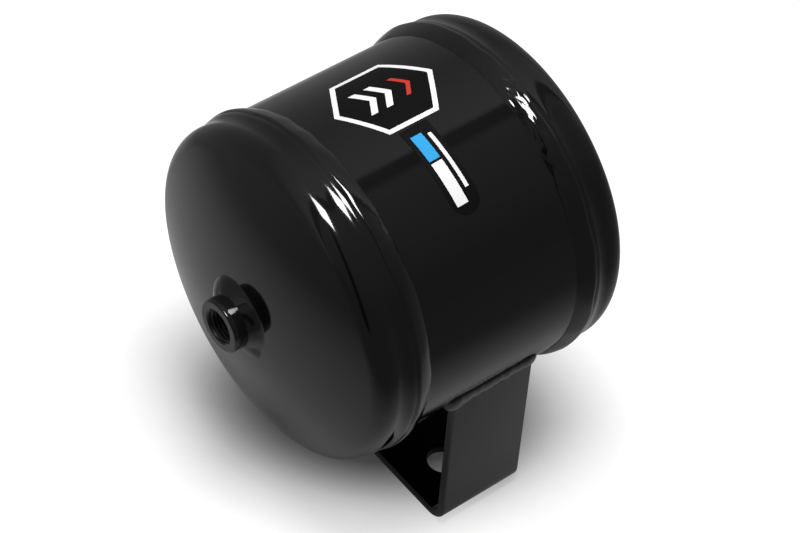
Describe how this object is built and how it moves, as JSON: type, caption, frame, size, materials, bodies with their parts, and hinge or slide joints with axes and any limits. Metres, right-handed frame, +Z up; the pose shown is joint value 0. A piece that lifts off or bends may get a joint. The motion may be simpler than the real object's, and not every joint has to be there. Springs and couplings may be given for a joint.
{
  "type": "compressed air reservoir tank",
  "caption": "Small welded steel pressure tank with shallow domed ends, a threaded port bung in each end and a U-shaped mounting cradle.",
  "frame": {"origin": "centre of the bounding box at its bottom: on the underside of the cradle bracket, below the tank's middle", "axes": "+Z up from the bracket's underside, Y along the tank's axis with the supply port facing -Y, +X to the right when looking along +Y"},
  "size_m": [0.1378, 0.1602, 0.1684],
  "materials": {
    "shell_coat": "gloss black powder coat",
    "head_coat": "gloss black powder coat",
    "weld_coat": "gloss black powder coat over a rippled weld bead",
    "bung_coat": "satin black powder coat over a turned steel bung",
    "bracket_coat": "gloss black powder coat",
    "decal_vinyl": "printed vinyl, black with white and blue shapes"
  },
  "bodies": {
    "root": {"shell": "shell_coat", "shell_seam_weld": "weld_coat", "front_head": "head_coat", "front_girth_weld": "weld_coat", "front_port_bung": "bung_coat", "front_port_weld": "weld_coat", "rear_head": "head_coat", "rear_girth_weld": "weld_coat", "rear_port_bung": "bung_coat", "rear_port_weld": "weld_coat", "badge_decal": "decal_vinyl", "strip_decal": "decal_vinyl", "mounting_bracket": "bracket_coat", "right_bracket_weld": "weld_coat", "left_bracket_weld": "weld_coat"}
  },
  "joints": []
}
